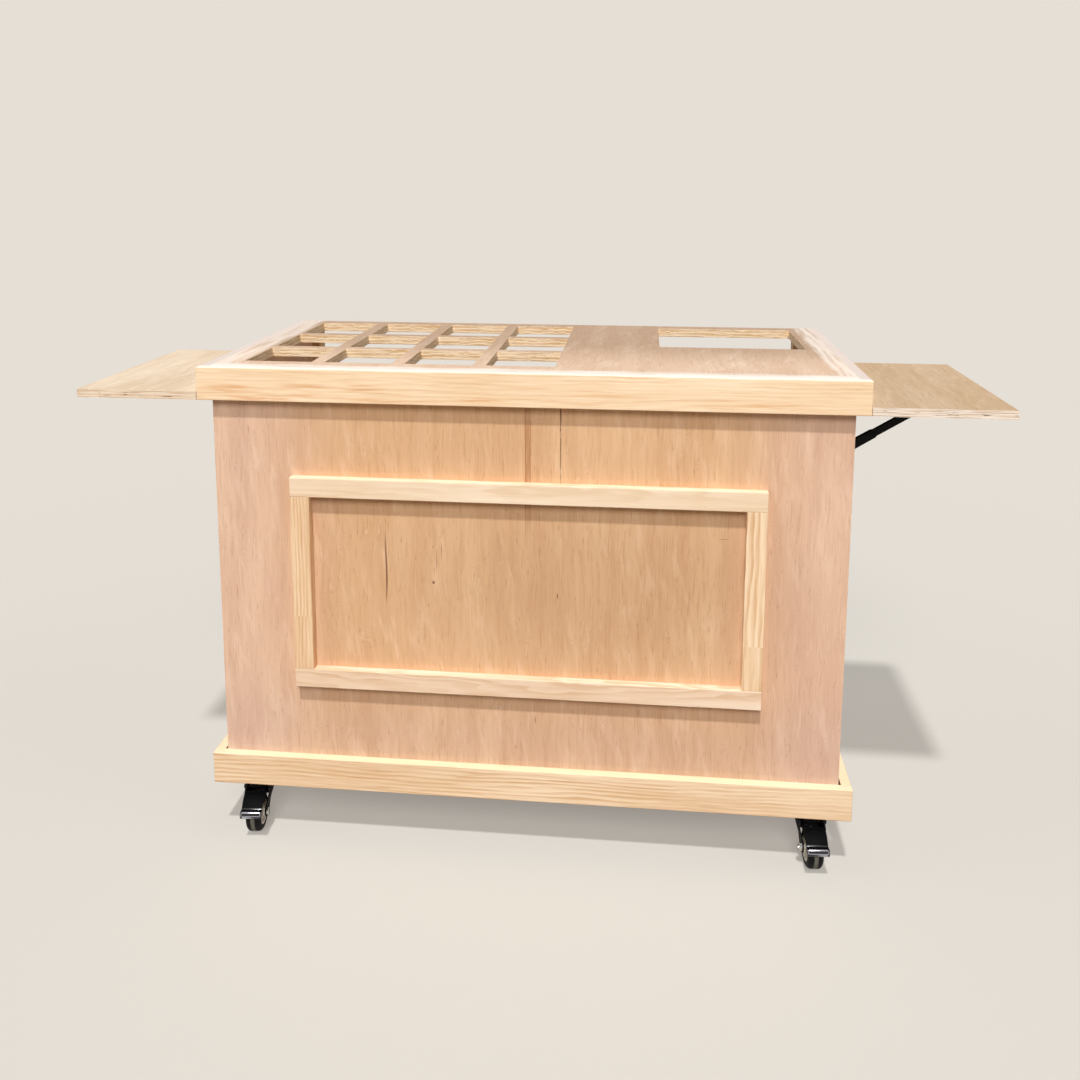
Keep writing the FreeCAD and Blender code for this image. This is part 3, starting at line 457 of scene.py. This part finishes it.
def make_tread(corner, place_mm, turn):
    """Moulded black rubber tread with a grey stripe round its middle, worn by the floor. The stripe
    is where the distance from the wheel's middle plane is small."""
    material, tree, shader = new_material("worn_rubber_tread_" + corner, Roughness=0.6,
                                          Specular_IOR_Level=0.15)
    place = millimetres(tree)
    grit = cloudy(tree, place, 1.2, (0, 0, 0), 4.0, 0.7)
    smear = cloudy(tree, place, 14.0, (5, 5, 5), 3.0)
    offset = add(tree, "VectorMath", {0: place, 1: (-place_mm[0], -place_mm[1], 0)},
                 operation="ADD")
    aside = add(tree, "VectorMath", {0: offset, 1: tuple(axle_way(turn))}, "Value",
                operation="DOT_PRODUCT")
    aside = add(tree, "Math", {0: aside, 1: -1.5}, operation="ADD")
    aside = add(tree, "Math", {0: smear, 1: 3.0, 2: aside}, operation="MULTIPLY_ADD")
    tone = stain(tree, "#0b0b0d", "#2a2927", (grit, 0.55, 0.8, 0.0, 0.25))
    tone = stain(tree, tone, "#7d7a72", (apart(tree, aside, 0.0), 5.0, 2.5),
                 (smear, 0.3, 0.55, 0.45, 0.9))
    surface(tree, shader, tone, grit, 0.06)
    return material


def make_hub_plastic():
    """Injection-moulded polypropylene hub, cream, a little marked."""
    material, tree, shader = new_material("moulded_polypropylene_hub", Roughness=0.42,
                                          Specular_IOR_Level=0.45)
    place = millimetres(tree)
    smear = cloudy(tree, place, 9.0, detail=4.0)
    tone = stain(tree, "#fffaf0", "#d6cdbd", (smear, 0.45, 0.75, 0.0, 0.7))
    surface(tree, shader, tone, cloudy(tree, place, 2.0, detail=1.0), 0.015)
    return material


# ---- Camera, floor and light ---------------------------------------------------------------

def make_camera():
    """The photograph's camera: its place and axes fitted to the trolley's straight edges."""
    right = (0.9943507, 0.10613784, 0.00120529)
    up = (-0.01748141, 0.15255302, 0.98814067)
    ahead = (-0.10469524, 0.98257943, -0.15354664)
    camera = bpy.data.objects.new("camera", bpy.data.cameras.new("camera"))
    bpy.context.scene.collection.objects.link(camera)
    camera.data.sensor_width = 36.0
    camera.data.lens = 35.774
    camera.data.shift_x = 0.008964
    camera.data.shift_y = -0.187385
    camera.data.clip_end = 200.0
    rows = [[right[i], up[i], -ahead[i]] for i in range(3)]
    camera.matrix_world = Matrix.Translation((0.21276, -2.25479, 1.33079)) @ Matrix(rows).to_4x4()
    bpy.context.scene.camera = camera


def add_sun(name, azimuth, elevation, strength, width):
    """A sun at an azimuth from the front, 0 straight in front and 90 on the right, an elevation
    and a width, all in degrees."""
    lamp = bpy.data.lights.new(name, "SUN")
    lamp.energy = strength
    lamp.angle = math.radians(width)
    holder = bpy.data.objects.new(name, lamp)
    holder.matrix_world = (Matrix.Rotation(math.radians(azimuth), 4, "Z")
                           @ Matrix.Rotation(math.radians(90 - elevation), 4, "X"))
    bpy.context.scene.collection.objects.link(holder)


def make_lights():
    """Two lamps from the front, a soft low one and a sharp high one that draws the shadows under
    the boards, and a wide weak fill from each side. The camera sees a pale backdrop."""
    add_sun("low_front_light", 3, 38, 1.70, 24.0)
    add_sun("high_front_light", -4, 63.5, 2.75, 3.0)
    add_sun("left_fill", -80, 14, 0.8, 50.0)
    add_sun("right_fill", 80, 14, 0.8, 50.0)
    world = bpy.data.worlds.new("studio")
    bpy.context.scene.world = world
    world.use_nodes = True
    tree = world.node_tree
    tree.nodes.clear()
    rays = tree.nodes.new("ShaderNodeLightPath")
    seen = strongest(tree, [rays.outputs["Is %s Ray" % kind]
                            for kind in ("Camera", "Transmission", "Glossy")])
    soft = add(tree, "Background", {"Color": "#ffffff", "Strength": 0.09})
    paper = add(tree, "Background", {"Color": BACKDROP, "Strength": 1.0})
    add(tree, "OutputWorld", {"Surface": add(tree, "MixShader", {0: seen, 1: soft, 2: paper})})


def make_floor():
    """A plain pale floor, one large square. Near the trolley it takes the shadow, and further out
    the camera sees it in the backdrop's own colour."""
    half = 30.0
    corners = np.array([[-half, -half, 0], [half, -half, 0], [half, half, 0], [-half, half, 0]])
    mesh = bpy.data.meshes.new("floor")
    mesh.from_pydata(corners.tolist(), [], [(0, 1, 2, 3)])
    floor = bpy.data.objects.new("floor", mesh)
    bpy.context.scene.collection.objects.link(floor)
    material, tree, shader = new_material("matte_backdrop_paper", Roughness=0.9,
                                          Specular_IOR_Level=0.1)
    rays = tree.nodes.new("ShaderNodeLightPath")
    seen_or_mirrored = strongest(tree, [rays.outputs["Is %s Ray" % kind]
                                        for kind in ("Camera", "Glossy")])
    tree.links.new(stain(tree, "#86796a", "#c5c1b9", seen_or_mirrored), shader.inputs["Base Color"])
    reach = add(tree, "VectorMath", {0: add(tree, "TexCoord", out="Object")}, "Value",
                operation="LENGTH")
    seen = share(tree, rays.outputs["Is Camera Ray"], (reach, 0.9, 3.2, 0.35, 1.0))
    paper = add(tree, "Emission", {"Color": BACKDROP, "Strength": 1.0})
    mixed = add(tree, "MixShader", {0: seen, 1: shader.outputs[0], 2: paper})
    output = next(n for n in tree.nodes if n.type == "OUTPUT_MATERIAL")
    tree.links.new(mixed, output.inputs["Surface"])
    mesh.materials.append(material)


# ---- Dressing the construction -------------------------------------------------------------

def dress(name, material, edge_mm=0.0):
    """Gives a CAD node its material, and rounds its sharp edges by the given radius."""
    piece = nodes[name]
    piece.data.materials.clear()
    piece.data.materials.append(material)
    if edge_mm:
        weld = piece.modifiers.new("weld", "WELD")
        weld.merge_threshold = 0.00001
        bevel = piece.modifiers.new("eased_edges", "BEVEL")
        bevel.width = edge_mm / 1000
        bevel.segments = 2
        bevel.limit_method = "ANGLE"
        bevel.angle_limit = math.radians(SHARP_DEGREES)


def make_boards():
    """The pine of each board, by the board's place on the trolley."""
    apron_streaks = [(-560, 918, 95, 19, "#dca470"), (-480, 905, 150, 7, "#db9b65"),
                     (-415, 925, 90, 9, "#d79e6b"), (-312, 925, 60, 11, "#d79e6b"),
                     (-240, 903, 130, 7, "#dea570"), (-80, 910, 70, 4, "#dca168"),
                     (150, 922, 120, 5, "#e2b281"), (430, 908, 110, 5, "#e2b281")]
    # The upward tones of the apron, its ends and the plinth are painted light and shade.
    return {
        "apron": pine("sanded_pine_apron", "X", "Z", 10.0, "#f9e1c0", "#e3bb8e", 0.5, 34.0,
                      (40, 0, 12), apron_streaks, "#f1e7de", 0.32),
        "apron_end": pine("sanded_pine_apron_end", "Y", "Z", 10.0, "#fbe4c6", "#ecc79d", 0.4, 26.0,
                          (0, 33, 5), painted_upward_tone="#cbbfba", strokes=0.32),
        "plinth": pine("sanded_pine_plinth", "X", "Z", 9.0, "#edd4b4", "#cfa374", 0.85, 20.0,
                       (260, 0, 40), painted_upward_tone="#f1d6b3", strokes=0.3, plain_mm=(380.0, 560.0)),
        "plinth_end": pine("sanded_pine_plinth_end", "Y", "Z", 9.0, "#edd4b4", "#cfa374", 0.85,
                           20.0, (0, 150, 40), painted_upward_tone="#f1d6b3", strokes=0.3),
        "upper_rail": pine("sanded_pine_rail_top", "X", "Z", 22.0, "#f3dfc5", "#dcb991", 0.45, 90.0,
                           (610, 0, 77), strokes=0.14),
        "lower_rail": pine("sanded_pine_rail_bottom", "X", "Z", 22.0, "#f0d9c1", "#d2aa82", 0.62,
                           90.0, (90, 0, 31), strokes=0.14),
        "left_stile": pine("sanded_pine_stile_left", "Z", "X", 8.0, "#ebcca6", "#cb9767", 0.6, 18.0,
                           (25, 0, 400), block_mm=STILE_BLOCK),
        "right_stile": pine("sanded_pine_stile_right", "Z", "X", 14.0, "#f3d9b6", "#cb9763", 0.75,
                            34.0, (9, 0, 130), block_mm=STILE_BLOCK),
        "batten": pine("planed_pine_batten", "Z", "Y", 8.0, "#ecd0a2", "#cf9f66", 0.6, 20.0,
                       (0, 8, 90)),
    }


def dress_cabinet():
    """The wood of the cabinet, its top and its two leaves."""
    pines = make_boards()
    inside = make_leaf_wood("plain_birch_plywood_inside",
                            ("#dfc29a", "#cba877", "#e8cfab", "#b58d5f"),
                            ("#f0dcc0", "#dcbf9a", "#a98464"), (700, 20, 60))
    right_leaf = make_leaf_wood("sanded_birch_leaf_right",
                                ("#c0a78a", "#b1926f", "#d1b99e", "#8a6847"),
                                ("#f0e4d5", "#e1c8b0", "#a07a58"), (30, 15, 0))
    left_leaf = make_leaf_wood("sanded_birch_leaf_left",
                               ("#dcc9b1", "#c9b094", "#e9dac4", "#a88b69"),
                               ("#ecd9c2", "#d8bc9c", "#a98464"), (530, 415, 9))
    for names, material, edge_mm in (
            ("front_panel", make_front_panel_wood(), 0.0),
            ("side_panel_left side_panel_right", make_side_wood(), PLYWOOD_EDGE),
            ("top_sheet", make_top_wood(), TOP_EDGE),
            ("leaf_right", right_leaf, PLYWOOD_EDGE),
            ("leaf_left", left_leaf, PLYWOOD_EDGE),
            ("floor_panel shelf", inside, 0.0),
            ("apron_front", pines["apron"], BOARD_EDGE),
            ("apron_left apron_right", pines["apron_end"], BOARD_EDGE),
            ("plinth_front plinth_back", pines["plinth"], BOARD_EDGE),
            ("plinth_left plinth_right", pines["plinth_end"], BOARD_EDGE),
            ("moulding_rail_top", pines["upper_rail"], BOARD_EDGE),
            ("moulding_rail_bottom", pines["lower_rail"], BOARD_EDGE),
            ("moulding_stile_left", pines["left_stile"], BOARD_EDGE),
            ("moulding_stile_right", pines["right_stile"], BOARD_EDGE),
            ("corner_posts shelf_cleats", pines["batten"], PLYWOOD_EDGE)):
        for name in names.split():
            dress(name, material, edge_mm)


def dress_hardware():
    """The folding brackets of the leaves, and the casters."""
    black, zinc, hub = make_paint(), make_zinc(), make_hub_plastic()
    for side in ("left", "right"):
        for name in ("wall_arm_", "shelf_arm_", "lower_link_", "upper_link_"):
            dress(name + side, black, BRACKET_EDGE)
        for name in ("wall_fixings_", "leaf_fixings_"):
            dress(name + side, zinc)
    for corner, (place_mm, turn) in CASTERS.items():
        for name in ("caster_plate_", "fork_"):
            dress(name + corner, black, CASTER_EDGE)
        dress("pedal_" + corner, make_pedal_paint(corner, place_mm, turn), CASTER_EDGE)
        dress("axle_" + corner, zinc, CASTER_EDGE)
        dress("tyre_" + corner, make_tread(corner, place_mm, turn))
        dress("hub_" + corner, hub, CASTER_EDGE)
    dress("caster_screws", zinc)


make_camera()
make_lights()
make_floor()
dress_cabinet()
dress_hardware()
bpy.context.scene.view_settings.view_transform = "Standard"
